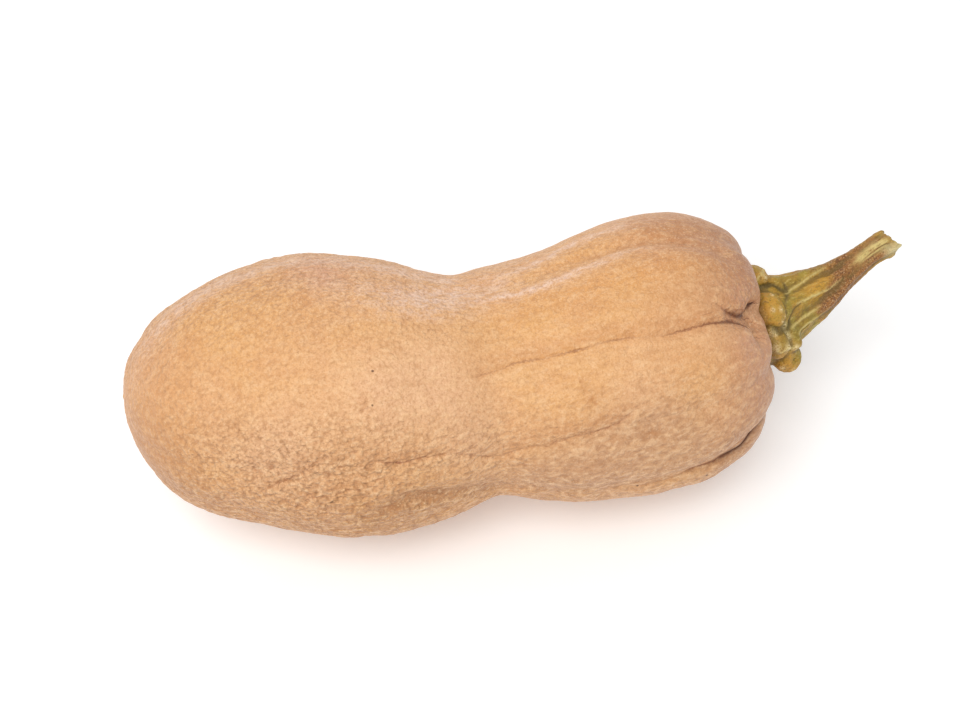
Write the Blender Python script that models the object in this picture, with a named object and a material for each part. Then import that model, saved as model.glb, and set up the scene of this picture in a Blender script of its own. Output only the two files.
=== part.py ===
"""A butternut squash lying on its side, with its cut stem.

Metres, +Z up. +X runs along the fruit from the blossom end to the stem. The fruit rests on two
small flats at z = 0, one under the bulb and one under the shoulder, and the origin is below the
middle of the whole squash.
"""

import math

import bmesh
import bpy
import numpy as np
from mathutils import Matrix, Vector, noise

MM = 0.001
UP = Vector((0.0, 0.0, 1.0))

# The fruit is laid out as round sections, in millimetres.
# Each pair is the distance from the blossom end and the section's radius.
FRUIT_LENGTH = 241.2
BULB_RADIUS = 54.0
WAIST_RADIUS = 42.9
SHOULDER_PLACE = 202.0
SHOULDER_RADIUS = 53.8
SEAT_RADIUS = 20.0
CAVITY_DEPTH = 2.4
FRUIT_PROFILE = (
    (1.6, 0.0),
    (0.4, 5.0),
    (1.4, 12.0),
    (6.5, 23.0),
    (17.0, 34.5),
    (33.0, 43.8),
    (52.0, 49.8),
    (68.0, 53.6),
    (84.0, BULB_RADIUS),
    (102.0, 51.3),
    (118.0, 45.9),
    (134.0, WAIST_RADIUS),
    (150.0, 45.7),
    (168.0, 50.0),
    (186.0, 53.0),
    (SHOULDER_PLACE, SHOULDER_RADIUS),
    (216.0, 51.4),
    (227.0, 46.4),
    (234.5, 40.8),
    (239.2, 34.4),
    (FRUIT_LENGTH - 0.6, 28.5),
    (FRUIT_LENGTH, 23.5),
    (FRUIT_LENGTH - 0.5 * CAVITY_DEPTH, SEAT_RADIUS),
    (FRUIT_LENGTH - CAVITY_DEPTH, SEAT_RADIUS - 4.0),
    (FRUIT_LENGTH - CAVITY_DEPTH, 8.0),
    (FRUIT_LENGTH - CAVITY_DEPTH, 0.0),
)
RINGS_PER_SPAN = 3

# How far the middle of the section stands aside, along +Y, at each distance from the blossom end.
ASIDE = (
    (0.0, -1.6),
    (16.0, -4.4),
    (44.0, -4.6),
    (64.0, -6.8),
    (84.0, -9.0),
    (104.0, -11.2),
    (122.0, -13.2),
    (136.0, -10.0),
    (156.0, -11.2),
    (184.0, -6.8),
    (204.0, -4.0),
    (224.0, -4.6),
    (242.0, -7.0),
)

# The stem's seat is off the middle of the fruit's end and faces a little aside, and the skin
# round it follows it.
SEAT_SHIFT = Vector((0.0, 8.2, 3.8))
SEAT_FACING = Vector((0.985, 0.02, 0.12)).normalized()

# The ten grooves between the ribs. Angles turn from straight up towards +Y, in degrees, and depths
# are in millimetres. Each has a value at the bulb, the waist, the shoulder and the seat's rim.
GROOVE_PLACES = (40.0, 134.0, 210.0, 240.0)
GROOVES = (
    ((-100.0, -98.0, -97.0, -92.0), (0.5, 0.9, 3.6, 3.8)),
    ((-66.0, -67.0, -60.0, -58.0), (0.7, 1.3, 2.0, 2.2)),
    ((-33.0, -30.0, -29.0, -24.0), (0.5, 1.1, 2.8, 3.8)),
    ((18.0, 18.0, 16.0, 22.0), (0.6, 1.2, 2.0, 2.6)),
    ((52.0, 54.0, 57.0, 60.0), (0.4, 0.8, 2.0, 2.6)),
    ((90.0, 92.0, 95.0, 96.0), (0.6, 1.0, 2.6, 3.2)),
    ((128.0, 126.0, 128.0, 130.0), (0.4, 0.8, 1.8, 2.4)),
    ((160.0, 163.0, 161.0, 162.0), (0.5, 0.9, 2.2, 3.0)),
    ((197.0, 196.0, 199.0, 198.0), (0.4, 0.8, 2.0, 2.4)),
    ((226.0, 230.0, 231.0, 232.0), (0.5, 1.0, 2.4, 2.8)),
)
SEGMENTS_PER_RIB = 7
RIB_ROUNDNESS = 0.55
SCAR_SHARE = 0.67
RIB_START = 8.0
LUMPS = ((38.0, 1.1), (17.0, 0.8), (10.0, 0.6))
REST_FLAT_DEPTH = 1.3

# The stem grows from the middle of the seat, and is laid out straight along its own spine.
STEM_GAP = 0.35
STEM_LENGTH = 62.5
STEM_TIP_RADIUS = 5.4
FLARE_RADIUS = 18.5
STEM_ROOT = -2.0
STEM_PROFILE = (
    (STEM_ROOT, 0.0),
    (STEM_ROOT, 8.0),
    (STEM_ROOT, FLARE_RADIUS - 3.0),
    (0.5, FLARE_RADIUS - 0.5),
    (4.5, FLARE_RADIUS),
    (9.5, 17.4),
    (14.5, 14.6),
    (20.5, 12.1),
    (27.5, 10.3),
    (33.5, 8.4),
    (39.3, 6.8),
    (45.0, 5.8),
    (50.5, 5.1),
    (STEM_LENGTH - 4.0, 5.1),
    (STEM_LENGTH - 0.6, STEM_TIP_RADIUS),
    (STEM_LENGTH, STEM_TIP_RADIUS - 1.0),
    (STEM_LENGTH - 1.4, 2.4),
    (STEM_LENGTH - 2.0, 0.0),
)
RINGS_PER_STEM_SPAN = 2

# The stem's own line: out along the seat's normal, and up a slope that leans aside.
STEM_LINE = (
    (STEM_ROOT, 0.0),
    (4.0, 0.4),
    (11.5, 1.9),
    (21.7, 4.6),
    (33.0, 8.7),
    (43.2, 13.6),
    (52.8, 18.2),
    (60.2, 20.7),
)
STEM_SLOPE = math.radians(35.0)
STEM_TWIST = math.radians(20.0)
RIDGES = 7
RIDGE_HEIGHT = 0.11
RIDGE_START = 12.0
SEGMENTS_PER_RIDGE = 6

# The knobs where the stem's ridges end on the fruit: the reach along the stem, the angle round it
# from its level side, the distance of the middle from the stem's own middle, the radius, and how
# much longer a knob is round the stem than along it.
KNOBS = (
    (4.2, 8.0, 19.0, 6.2, 1.25),
    (5.5, 60.0, 17.2, 6.4, 1.15),
    (6.0, 116.0, 14.8, 6.2, 1.2),
    (6.5, 170.0, 14.8, 6.4, 1.2),
    (6.0, 224.0, 15.0, 6.0, 1.15),
    (8.2, -73.0, 18.2, 6.0, 1.0),
    (3.7, -31.0, 19.6, 5.2, 1.15),
)
KNOB_SEGMENTS = 14
KNOB_RINGS = 9


def smooth_line(points, per_span):
    """Points on one smooth curve through the given ones, with per_span steps between each two."""
    p = np.array(points, float)
    span = np.linalg.norm(np.diff(p, axis=0), axis=1)[:, None]
    slope = np.diff(p, axis=0) / span
    lean = np.empty_like(p)
    lean[1:-1] = (slope[:-1] * span[1:] + slope[1:] * span[:-1]) / (span[1:] + span[:-1])
    lean[0], lean[-1] = slope[0], slope[-1]
    line = []
    for i in range(len(span)):
        for t in np.arange(per_span) / per_span:
            line.append(
                (2 * t**3 - 3 * t**2 + 1) * p[i]
                + (t**3 - 2 * t**2 + t) * span[i] * lean[i]
                + (3 * t**2 - 2 * t**3) * p[i + 1]
                + (t**3 - t**2) * span[i] * lean[i + 1]
            )
    return np.array([*line, p[-1]])


ASIDE_LINE = smooth_line(ASIDE, 6).transpose()
SEAT = Vector((FRUIT_LENGTH - CAVITY_DEPTH, ASIDE[-1][1], 0.0)) + SEAT_SHIFT


def outward(line):
    """The direction out of the solid at each point of a profile that runs from pole to pole."""
    run = np.gradient(line, axis=0)
    run /= np.linalg.norm(run, axis=1)[:, None]
    return np.column_stack((-run[:, 1], run[:, 0]))


def turned_grid(name, rings, segments, place):
    """A closed grid of rings between two poles, each vertex put at place(ring, turn)."""
    shape = bmesh.new()
    bmesh.ops.create_uvsphere(shape, u_segments=segments, v_segments=rings, radius=1.0)
    for vertex in shape.verts:
        ring = round(vertex.co.angle(UP) / math.pi * rings)
        turn = round(math.atan2(-vertex.co.x, vertex.co.y) / math.tau * segments) % segments
        vertex.co = place(ring, turn / segments) * MM
    mesh = bpy.data.meshes.new(name)
    shape.to_mesh(mesh)
    shape.free()
    return mesh


def new_part(name, mesh, collection):
    part = bpy.data.objects.new(name, mesh)
    collection.objects.link(part)
    return part


def material(name, colour, roughness):
    made = bpy.data.materials.new(name)
    made.use_nodes = True
    surface = made.node_tree.nodes["Principled BSDF"]
    surface.inputs["Base Color"].default_value = (*colour, 1.0)
    surface.inputs["Roughness"].default_value = roughness
    surface.inputs["Metallic"].default_value = 0.0
    return made


class Spine:
    """A bent line. at() gives a point of it with the directions ahead, rising and level there."""

    def __init__(self, points, start, ahead, slope):
        self.line = smooth_line(points, 12)
        steps = np.linalg.norm(np.diff(self.line, axis=0), axis=1)
        self.reach = points[0][0] + np.concatenate(([0.0], np.cumsum(steps)))
        self.start = start
        self.out = ahead
        side = UP.cross(ahead).normalized()
        self.uphill = side * math.cos(slope) + UP * math.sin(slope)
        self.level = UP * math.cos(slope) - side * math.sin(slope)

    def at(self, reach):
        near = (reach - 1.0, reach, reach + 1.0)
        out, rise = (np.interp(near, self.reach, self.line[:, axis]) for axis in (0, 1))
        ahead = (self.out * (out[2] - out[0]) + self.uphill * (rise[2] - rise[0])).normalized()
        centre = self.start + self.out * out[1] + self.uphill * rise[1]
        return centre, ahead, self.level.cross(ahead), self.level


def place_round(spine, reach, radius, angle):
    """The point at that distance along a spine and out from it, turned from its level side."""
    centre, _, rising, level = spine.at(reach)
    return centre + (level * math.cos(angle) + rising * math.sin(angle)) * radius


def groove_values(along):
    """Angles and depths of the ten grooves at that distance from the blossom end."""
    angles = [math.radians(np.interp(along, GROOVE_PLACES, angle)) for angle, _ in GROOVES]
    depths = [np.interp(along, GROOVE_PLACES, depth) for _, depth in GROOVES]
    return angles, depths


def rib_relief(along, turn):
    """The angle round the spine and the height of the skin, for a turn of 0 to 1."""
    angles, depths = groove_values(along)
    across, rib = math.modf(turn * len(GROOVES) + 1e-6)
    here, after = int(rib), (int(rib) + 1) % len(GROOVES)
    width = (angles[after] - angles[here]) % math.tau
    depth = depths[here] * (1 - across) + depths[after] * across
    hollow = 1 - math.sin(math.pi * across) ** RIB_ROUNDNESS
    return angles[here] + width * across, -depth * hollow


def lump(point):
    """The unevenness of the skin, in millimetres."""
    return sum(height * noise.noise(point / size) for size, height in LUMPS)


def ribs_grown(along, radius):
    """0 on the stem's seat and at the blossom scar, where there is no rib, and 1 between them."""
    if along < GROOVE_PLACES[0]:
        return min(1.0, radius / (BULB_RADIUS * SCAR_SHARE))
    return min(1.0, max(0.0, (radius - SEAT_RADIUS) / RIB_START))


def section_point(along, radius, angle):
    """The point at that distance from the blossom end and out from its section's middle."""
    aside = np.interp(along, *ASIDE_LINE)
    return Vector((along, aside + radius * math.sin(angle), radius * math.cos(angle)))


def seat_share(along, radius):
    """How far the skin follows the stem's seat: 0 up to the shoulder, and 1 on the seat."""
    if along < SHOULDER_PLACE:
        return 0.0
    return float(np.interp(radius, (SEAT_RADIUS, SHOULDER_RADIUS), (1.0, 0.0)))


def drawn_to_seat(point, share):
    """The point moved and leant with the stem's seat, by that share."""
    moved = point + SEAT_SHIFT * share
    away = moved - SEAT
    moved.x -= share * away.yz.dot(SEAT_FACING.yz) / SEAT_FACING.x
    return moved


def fruit_mesh(gap=0.0):
    """The fruit's skin, or a copy of it that stands off by a gap in millimetres."""
    profile = smooth_line(FRUIT_PROFILE, RINGS_PER_SPAN)
    out = outward(profile)

    def place(ring, turn):
        along, radius = profile[ring]
        angle, relief = rib_relief(along, turn)
        uneven = lump(section_point(along, radius, angle))
        skin = profile[ring] + out[ring] * (gap + (relief + uneven) * ribs_grown(along, radius))
        return drawn_to_seat(section_point(skin[0], skin[1], angle), seat_share(along, radius))

    return turned_grid("fruit", len(profile) - 1, SEGMENTS_PER_RIB * len(GROOVES), place)


def cut_rest_flats(mesh):
    """Slices off the lowest skin, which leaves one flat under the bulb and one under the shoulder."""
    shape = bmesh.new()
    shape.from_mesh(mesh)
    floor = min(vertex.co.z for vertex in shape.verts) + REST_FLAT_DEPTH * MM
    cut = bmesh.ops.bisect_plane(
        shape,
        geom=[*shape.verts, *shape.edges, *shape.faces],
        plane_co=UP * floor,
        plane_no=-UP,
        clear_outer=True,
    )
    rims = [item for item in cut["geom_cut"] if isinstance(item, bmesh.types.BMEdge)]
    bmesh.ops.holes_fill(shape, edges=rims)
    bmesh.ops.recalc_face_normals(shape, faces=shape.faces)
    shape.to_mesh(mesh)
    shape.free()


def stem_mesh(spine):
    profile = smooth_line(STEM_PROFILE, RINGS_PER_STEM_SPAN)

    def place(ring, turn):
        reach, radius = profile[ring]
        angle = turn * math.tau
        grown = min(1.0, max(0.0, reach / RIDGE_START))
        ridged = radius * (1 + RIDGE_HEIGHT * math.cos(RIDGES * angle) * grown)
        return place_round(spine, reach, ridged, angle + STEM_TWIST * reach / STEM_LENGTH)

    return turned_grid("stem", len(profile) - 1, SEGMENTS_PER_RIDGE * RIDGES, place)


def knob_mesh(spine, reach, angle, distance, size, stretch):
    """One knob, a sphere drawn out round the stem and sunk in the flare."""
    turn = math.radians(angle)
    _, ahead, rising, level = spine.at(reach)
    away = level * math.cos(turn) + rising * math.sin(turn)
    middle = place_round(spine, reach, distance, turn)
    axes = Matrix((ahead * size, away.cross(ahead) * size * stretch, away * size)).transposed()
    laid = Matrix.Translation(middle * MM) @ axes.to_4x4()
    shape = bmesh.new()
    bmesh.ops.create_uvsphere(shape, u_segments=KNOB_SEGMENTS, v_segments=KNOB_RINGS, radius=MM)
    bmesh.ops.transform(shape, matrix=laid, verts=shape.verts)
    mesh = bpy.data.meshes.new("knob")
    shape.to_mesh(mesh)
    shape.free()
    return mesh


def apply_modifiers(part):
    """Makes what the modifiers give the part's own mesh."""
    graph = bpy.context.evaluated_depsgraph_get()
    made = bpy.data.meshes.new_from_object(part.evaluated_get(graph))
    part.modifiers.clear()
    part.data = made


def join_knobs(stem, spine, collection):
    knobs = bpy.data.collections.new("knobs")
    collection.children.link(knobs)
    for knob in KNOBS:
        new_part("knob", knob_mesh(spine, *knob), knobs)
    join = stem.modifiers.new("knobs", "BOOLEAN")
    join.operation = "UNION"
    join.operand_type = "COLLECTION"
    join.collection = knobs
    apply_modifiers(stem)
    for knob in list(knobs.objects):
        bpy.data.objects.remove(knob)
    bpy.data.collections.remove(knobs)


def seat_stem(stem, collection):
    """Cuts the stem's foot to the fruit's skin, with a hair's gap between them."""
    cutter = new_part("skin_cutter", fruit_mesh(STEM_GAP), collection)
    cut = stem.modifiers.new("seat", "BOOLEAN")
    cut.operation = "DIFFERENCE"
    cut.object = cutter
    apply_modifiers(stem)
    bpy.data.objects.remove(cutter)


def set_down(parts):
    """Moves the parts so that the squash stands on z = 0 with its middle over the origin."""
    points = np.array([vertex.co for part in parts for vertex in part.data.vertices])
    low, high = points.min(axis=0), points.max(axis=0)
    for part in parts:
        part.location = (-(low[0] + high[0]) / 2, -(low[1] + high[1]) / 2, -low[2])


def main():
    for old in list(bpy.data.objects):
        bpy.data.objects.remove(old)
    squash = bpy.data.collections.new("butternut_squash")
    bpy.context.scene.collection.children.link(squash)

    fruit = new_part("fruit", fruit_mesh(), squash)
    cut_rest_flats(fruit.data)

    stem_spine = Spine(STEM_LINE, SEAT, SEAT_FACING, STEM_SLOPE)
    stem = new_part("stem", stem_mesh(stem_spine), squash)
    join_knobs(stem, stem_spine, squash)
    seat_stem(stem, squash)

    fruit.data.materials.append(material("fruit_skin", (0.80, 0.47, 0.22), 0.5))
    stem.data.materials.append(material("stem_wood", (0.33, 0.24, 0.06), 0.7))
    for part in (fruit, stem):
        part.data.shade_smooth()
    set_down((fruit, stem))


main()
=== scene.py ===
"""The looks of a butternut squash on its side: pebbled, creased skin and a knobbed, woody stem."""

import math
import random

import bpy
import numpy as np
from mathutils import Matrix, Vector, noise
from mathutils.bvhtree import BVHTree


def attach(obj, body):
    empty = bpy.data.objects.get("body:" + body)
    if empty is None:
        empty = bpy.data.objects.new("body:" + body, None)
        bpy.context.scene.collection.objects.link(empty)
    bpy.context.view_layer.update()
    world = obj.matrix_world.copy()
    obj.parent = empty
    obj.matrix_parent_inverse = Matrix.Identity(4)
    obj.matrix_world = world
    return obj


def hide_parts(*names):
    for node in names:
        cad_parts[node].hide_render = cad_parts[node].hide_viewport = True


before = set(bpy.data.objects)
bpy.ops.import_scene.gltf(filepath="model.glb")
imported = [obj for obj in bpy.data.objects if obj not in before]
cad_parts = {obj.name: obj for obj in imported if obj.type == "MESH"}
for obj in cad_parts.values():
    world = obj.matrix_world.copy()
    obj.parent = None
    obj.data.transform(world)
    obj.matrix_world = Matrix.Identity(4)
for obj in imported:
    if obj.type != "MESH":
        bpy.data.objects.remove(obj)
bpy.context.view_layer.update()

# The photo's view. The camera stands above and in front of the squash, where the photo was taken from.
# Creases, specks and stains that the photo shows are placed by its pixels, along the line of sight.
# Lens and sensor are in mm, and places in metres.
PHOTO_WIDTH = 960
PHOTO_HEIGHT = 720
LENS = 50.0
SENSOR = 36.0
EYE = Vector((-0.05372, -0.28415, 0.47343))
AIM = Vector((-0.01486, 0.00722, 0.05363))

camera = bpy.data.objects.new("photo_view", bpy.data.cameras.new("photo_view"))
camera.data.lens = LENS
camera.data.sensor_width = SENSOR
camera.location = EYE
camera.rotation_euler = (AIM - EYE).to_track_quat("-Z", "Y").to_euler()
bpy.context.scene.collection.objects.link(camera)
bpy.context.scene.camera = camera


def line_of_sight(x, y):
    """The direction in which the camera sees a pixel of the photo."""
    ahead = (AIM - EYE).normalized()
    right = ahead.cross(Vector((0, 0, 1))).normalized()
    up = right.cross(ahead)
    reach = SENSOR / LENS / PHOTO_WIDTH
    return ahead + right * (x - PHOTO_WIDTH / 2) * reach + up * (PHOTO_HEIGHT / 2 - y) * reach


# The fruit: one grown body of tough, waxy skin, a copy of the CAD solid that is fine enough for its relief.
# It dried a little after picking, so the skin shrank to pebbles and folds, with creases between its ribs.
# Sizes, depths and places in this section are in mm.
MM = 0.001

# Each crease is a line of (pixel x, pixel y, depth) from left to right, as the photo shows it.
CREASES = {
    "upper": ((455, 380, 0.2), (473, 377, 0.6), (496, 371, 0.8), (518, 363, 0.9), (534, 360.5, 1.0),
              (551, 357, 1.0), (568, 353, 1.0), (585, 348, 1.1), (603, 342.5, 1.0), (623, 339, 0.8),
              (645, 337, 0.7), (665, 335.5, 0.8), (682, 331, 1.1), (704, 325, 1.5), (723, 322, 2.0),
              (741, 320.5, 2.4), (753, 324, 2.8), (762, 330, 3.0)),
    "upper_branch": ((598, 314, 0.1), (620, 308, 0.25), (640, 304, 0.25), (668, 306, 0.1)),
    "pucker": ((700, 300, 0.1), (717, 304, 0.6), (733, 313, 1.3), (745, 315, 2.2), (752, 312, 3.2),
               (758, 307, 3.6), (764, 302, 3.6)),
    "pucker_fork": ((722, 312, 0.1), (731, 315, 0.5), (742, 316, 0.8), (752, 316, 1.0), (758, 318, 1.2)),
    "slit": ((600, 488, 0.1), (631, 486, 0.4), (651, 484, 0.7), (676, 477.5, 1.0), (692, 470, 1.2),
             (709, 465, 1.5), (720, 460, 1.8), (731, 454, 2.0), (740, 447.5, 2.0), (746, 441.5, 2.0),
             (752, 434, 1.9), (760, 423.5, 1.7), (767.5, 412, 1.2)),
    "lower": ((345, 474, 0.2), (363, 470, 0.6), (378, 462, 0.8), (389, 464, 1.1), (407, 463, 1.2),
              (421, 458, 1.1), (434, 454, 0.8), (448, 451, 0.7), (469, 451.5, 0.6), (487, 453.5, 0.8),
              (505, 451.5, 0.9), (521, 447, 0.7), (534, 444.5, 0.6), (546, 445, 0.7), (559, 440, 0.9),
              (573, 437, 0.9), (591, 434, 1.0), (607, 429, 1.0), (619, 424, 0.9), (630, 415, 0.8),
              (637, 409, 0.5), (646, 401, 0.2)),
    "lower_right": ((640, 422, 0.1), (662, 418, 0.25), (694, 412, 0.3), (726, 403, 0.1)),
    "bulb_fold": ((232, 489, 0.2), (252, 488, 0.6), (270, 488, 0.6), (287, 481, 0.8), (305, 471.5, 0.8),
                  (322, 460, 0.7), (336, 456, 0.2)),
    "bulb_low": ((296, 508, 0.2), (312, 499, 0.7), (334, 497, 0.8), (350, 491, 0.7), (366, 491, 0.3)),
    "bulb_slit": ((354, 415, 0.2), (361, 411, 0.8), (368, 408, 0.8), (375, 406, 0.2)),
    "bulb_line": ((176, 352, 0.1), (205, 350, 0.3), (228, 348, 0.3), (246, 352, 0.1)),
}
# Wide, soft hollows without a sharp line in them: their width, and the same kind of line.
HOLLOWS = (
    (3.0, ((500, 292, 0.1), (540, 276.5, 0.5), (571, 263, 0.8), (590, 257, 1.0), (609, 249.5, 1.1),
           (626, 243.5, 1.2), (644, 241, 1.2), (670, 241, 1.2), (693, 244, 1.2), (709, 248, 1.1),
           (724, 254, 0.9), (735, 261, 0.3))),
    (4.5, ((360, 522, 0.2), (375, 517, 0.9), (393, 506, 1.8), (406, 501, 2.4), (433, 496, 2.4),
           (449, 493, 2.0), (466, 489, 1.7), (482, 487, 1.3), (499, 488, 0.6))),
)
# Bands of painted highlight, painted shade and another hue: their width, and lines of (pixel x, pixel y,
# strength).
BANDS = {
    # Painted highlight: pinkish-white glints along the upper edges and the shoulder's ribs.
    "glint": (
        (2.3, ((438, 312, 0.4), (460, 308, 0.7), (490, 301, 0.9), (515, 296, 1.0), (540, 288, 1.0),
               (560, 280, 1.0), (580, 270, 0.9), (600, 262, 0.8), (618, 254, 0.6), (634, 249, 0.4),
               (655, 247, 0.2))),
        (2.5, ((470, 282, 0.4), (500, 276, 0.6), (520, 270, 0.8), (540, 261, 1.0), (560, 250, 1.0),
               (580, 241, 0.9), (600, 233, 0.8), (620, 226, 0.5))),
        (6.0, ((136, 368, 0.2), (143, 350, 0.5), (160, 326, 0.7), (185, 304, 0.8), (215, 286, 0.8),
               (250, 272, 0.7), (285, 263, 0.7), (320, 260, 0.6), (360, 264, 0.7), (400, 272, 0.9),
               (440, 281, 0.9))),
        (10.0, ((340, 285, 0.3), (380, 294, 0.7), (415, 300, 1.0), (450, 300, 1.0), (490, 290, 0.6))),
    ),
    # Painted shade in the slit beside the stem, in the pucker and at the upper crease's end by the stem.
    "slit_painted_shade": (
        (1.3, ((711, 464, 0.2), (722, 459, 0.6), (731, 454, 0.9), (740, 447.5, 1.0), (746, 441.5, 1.0),
               (752, 434, 1.0), (760, 423.5, 1.0), (767.5, 412, 1.0))),
        (0.8, ((728, 311, 0.2), (738, 314, 0.6), (745, 315, 0.8), (752, 312, 1.0), (758, 307, 1.0),
               (763, 303, 1.0))),
        (0.5, ((704, 325, 0.2), (723, 322, 0.5), (741, 320.5, 0.6), (752, 323, 0.5), (758, 327, 0.3))),
    ),
    # Painted shade: the waist's lower hollow, beside the slit, the bulb's lower left edge and the
    # shoulder's upper right edge.
    "shaded": (
        (4.0, ((370, 519, 0.4), (393, 507, 0.9), (406, 502, 1.0), (433, 497, 1.0), (449, 494, 0.9),
               (466, 490, 0.9), (482, 488, 0.8), (499, 488, 0.5))),
        (3.5, ((690, 478, 0.4), (715, 471, 0.7), (735, 458, 0.9), (752, 442, 0.9), (764, 424, 0.6))),
        (2.6, ((690, 466, 0.3), (706, 459, 0.7), (722, 449, 0.9), (735, 437, 1.0), (748, 422, 0.8))),
        (7.0, ((134, 430, 0.4), (143, 452, 0.8), (157, 471, 0.9), (176, 487, 0.8), (203, 499, 0.4))),
        (4.5, ((690, 224, 0.2), (712, 232, 0.6), (730, 246, 0.8), (742, 262, 0.8), (750, 280, 0.5))),
    ),
    "golden": (
        (4.5, ((500, 318, 0.3), (540, 305, 0.7), (580, 290, 0.9), (620, 279, 0.9), (660, 271, 0.8),
               (700, 266, 0.6), (725, 272, 0.2))),
    ),
}
# The creases that the photo doesn't show, between the ribs behind and below: the angle from straight up
# towards the far side at the waist and at the stem, in degrees, and the depth at the stem.
FAR_CREASES = ((60, 70, 1.4), (95, 101, 2.0), (127, 130, 1.2), (162, 162, 1.6), (212, 214, 1.6))
# Soft patches of another hue, of painted shade and painted light, and of more crumpled skin: pixel x, pixel
# y, size and strength.
PATCHES = {
    "mauve": ((318, 272, 11, 0.8), (744, 300, 8, 0.9), (752, 345, 8, 0.7), (764, 385, 8, 0.5)),
    "ochre": ((622, 290, 12, 0.4), (490, 350, 17, 0.4), (330, 425, 20, 0.4), (560, 400, 16, 0.3),
              (250, 330, 14, 0.3)),
    # Painted shade on the shoulder's upper right and on the bulb's lower left edge.
    "reddish_painted_shade": ((702, 232, 17, 1.0), (650, 224, 14, 0.7), (735, 262, 12, 0.8), (722, 244, 13, 0.8),
               (680, 275, 18, 0.4), (150, 440, 12, 0.5)),
    # Brown blemishes, with painted shade along the lower edges, in the waist's lower hollow and beside the
    # slit.
    "brown": ((172, 470, 15, 1.0), (144, 450, 14, 1.0), (136, 415, 7, 0.4), (432, 500, 13, 1.0),
              (385, 522, 13, 0.8), (480, 490, 8, 0.6), (400, 455, 8, 0.4), (742, 445, 9, 0.8),
              (300, 524, 14, 0.5)),
    # A paler rosy tone, with painted light on the bulb's lower middle and round the waist.
    "rosy": ((385, 400, 22, 0.8), (440, 365, 20, 0.6), (470, 440, 16, 0.7), (275, 455, 20, 1.0),
             (640, 395, 18, 0.4)),
    # Painted shade on the shoulder's lower edge, at the right end and by the stem, and a greyer patch at
    # the waist.
    "dusky": ((455, 425, 13, 0.2), (645, 452, 18, 0.9), (600, 475, 22, 0.9), (540, 480, 16, 0.8),
              (690, 452, 20, 0.9), (760, 400, 8, 0.7), (710, 300, 14, 0.3)),
    "stain": ((581, 383, 1.9, 0.8), (593, 401, 2.3, 1.0), (597, 419, 1.9, 0.8), (615, 437, 1.8, 0.7),
              (652, 435, 2.2, 0.8)),
    "crumple": ((400, 500, 24, 0.25), (300, 490, 24, 0.35), (200, 430, 20, 0.2), (745, 305, 9, 0.6)),
}
# Dents, and rises where the depth is below 0: pixel x, pixel y, size and depth.
DENTS = (
    (755, 305, 3.5, 1.8), (763, 320, 5.0, 3.8), (765, 335, 5.0, 3.4), (470, 365, 26.0, -3.4),
    (482, 428, 20.0, -3.0), (734, 251, 8.0, -1.2), (533, 492, 4.5, -0.9), (556, 494, 3.5, 0.9),
    (575, 495, 4.5, -0.8), (604, 494, 4.0, 1.0), (640, 489, 5.0, -0.6), (238, 511, 9.0, 1.2),
)
# Dark specks: pixel x, pixel y and size.
SPECKS = (
    (371, 374, 0.55), (371, 408, 0.45), (635, 287, 0.5), (636, 487, 0.5), (705, 477, 0.6), (366, 452, 0.3),
)


def smooth_line(points, per_span):
    """Points on one smooth curve through the given ones, with per_span steps between each two."""
    p = np.array(points, float)
    span = np.linalg.norm(np.diff(p, axis=0), axis=1)[:, None]
    slope = np.diff(p, axis=0) / span
    lean = np.empty_like(p)
    lean[1:-1] = (slope[:-1] * span[1:] + slope[1:] * span[:-1]) / (span[1:] + span[:-1])
    lean[0], lean[-1] = slope[0], slope[-1]
    t = (np.arange(per_span) / per_span)[:, None]
    line = [
        (2 * t**3 - 3 * t**2 + 1) * p[i] + (t**3 - 2 * t**2 + t) * span[i] * lean[i]
        + (3 * t**2 - 2 * t**3) * p[i + 1] + (t**3 - t**2) * span[i] * lean[i + 1]
        for i in range(len(span))
    ]
    return np.concatenate([*line, p[-1:]])


def places_of(piece):
    """A mesh's vertex places in mm, as rows."""
    flat = np.empty(len(piece.data.vertices) * 3, np.float32)
    piece.data.vertices.foreach_get("co", flat)
    return flat.reshape(-1, 3).astype(float) / MM


def normals_of(piece):
    """A mesh's vertex normals, as rows."""
    flat = np.empty(len(piece.data.vertices) * 3, np.float32)
    piece.data.vertex_normals.foreach_get("vector", flat)
    return flat.reshape(-1, 3).astype(float)


def put_places(piece, places):
    """Moves a mesh's vertices to places in mm."""
    piece.data.vertices.foreach_set("co", (places * MM).astype(np.float32).ravel())
    piece.data.update()


def keep_attribute(piece, name, values):
    """Stores a value or a place for each vertex, for the material to read."""
    kind, field = ("FLOAT", "value") if np.ndim(values) == 1 else ("FLOAT_VECTOR", "vector")
    attribute = piece.data.attributes.new(name, kind, "POINT")
    attribute.data.foreach_set(field, np.asarray(values, np.float32).ravel())


def select_only(piece):
    """Leaves one piece selected and active."""
    bpy.ops.object.select_all(action="DESELECT")
    piece.select_set(True)
    bpy.context.view_layer.objects.active = piece


def copy_of_node(node, name):
    """A copy of a CAD node as a new piece, its loose triangles merged and joined to quads."""
    piece = bpy.data.objects.new(name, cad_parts[node].data.copy())
    bpy.context.scene.collection.objects.link(piece)
    piece.data.materials.clear()
    select_only(piece)
    bpy.ops.object.mode_set(mode="EDIT")
    bpy.ops.mesh.select_all(action="SELECT")
    bpy.ops.mesh.customdata_custom_splitnormals_clear()
    bpy.ops.mesh.remove_doubles(threshold=1e-6)
    bpy.ops.mesh.tris_convert_to_quads(face_threshold=math.radians(50), shape_threshold=math.radians(60))
    bpy.ops.object.mode_set(mode="OBJECT")
    return piece


def finish_with(piece, kind, **settings):
    """Adds a modifier to a piece and applies it."""
    modifier = piece.modifiers.new(kind.lower(), kind)
    for name, value in settings.items():
        setattr(modifier, name, value)
    select_only(piece)
    bpy.ops.object.modifier_apply(modifier=modifier.name)


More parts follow.
